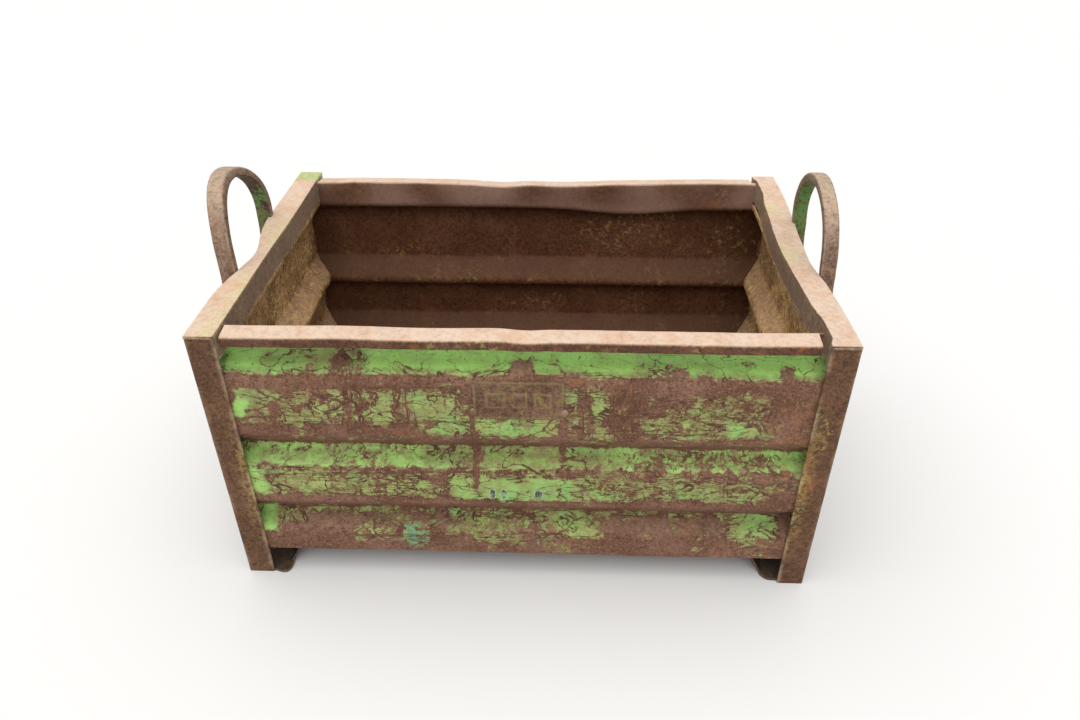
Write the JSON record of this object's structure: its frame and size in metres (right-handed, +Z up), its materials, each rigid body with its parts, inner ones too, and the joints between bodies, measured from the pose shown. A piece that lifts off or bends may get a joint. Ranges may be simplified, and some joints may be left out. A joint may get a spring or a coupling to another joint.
{
  "type": "stacking crate",
  "caption": "Open steel stacking crate with corrugated walls, angle posts, foot cups, end rails and an upright lifting loop at each end",
  "frame": {"origin": "middle of the footprint at ground level", "axes": "+X along the length to the right, +Y from front to back, +Z up; the name plate is on the front, -Y"},
  "size_m": [1.044, 0.65, 0.642],
  "materials": {
    "long_wall_paint": "green paint worn through to brown rust, matt",
    "end_wall_paint": "brown rust with flaking ochre and green paint, matt",
    "floor_steel": "dark brown rust, matt",
    "post_steel": "brown rust with ochre flecks, matt",
    "rail_steel": "pale rubbed rust, matt",
    "foot_steel": "dark brown rust, matt",
    "loop_steel": "brown rust with traces of green paint, matt",
    "weld_steel": "rusted weld metal",
    "plate_steel": "brown rust with traces of green paint, matt"
  },
  "bodies": {
    "root": {"front_wall": "long_wall_paint", "back_wall": "long_wall_paint", "left_wall": "end_wall_paint", "right_wall": "end_wall_paint", "floor_plate": "floor_steel", "post_front_left": "post_steel", "post_front_right": "post_steel", "post_back_left": "post_steel", "post_back_right": "post_steel", "rail_left": "rail_steel", "rail_right": "rail_steel", "foot_cup_front_left": "foot_steel", "foot_cup_front_right": "foot_steel", "foot_cup_back_left": "foot_steel", "foot_cup_back_right": "foot_steel", "foot_sole_front_left": "foot_steel", "foot_sole_front_right": "foot_steel", "foot_sole_back_left": "foot_steel", "foot_sole_back_right": "foot_steel", "loop_left": "loop_steel", "loop_right": "loop_steel", "loop_welds_left": "weld_steel", "loop_welds_right": "weld_steel", "name_plate": "plate_steel", "plate_tacks": "weld_steel"}
  },
  "joints": []
}
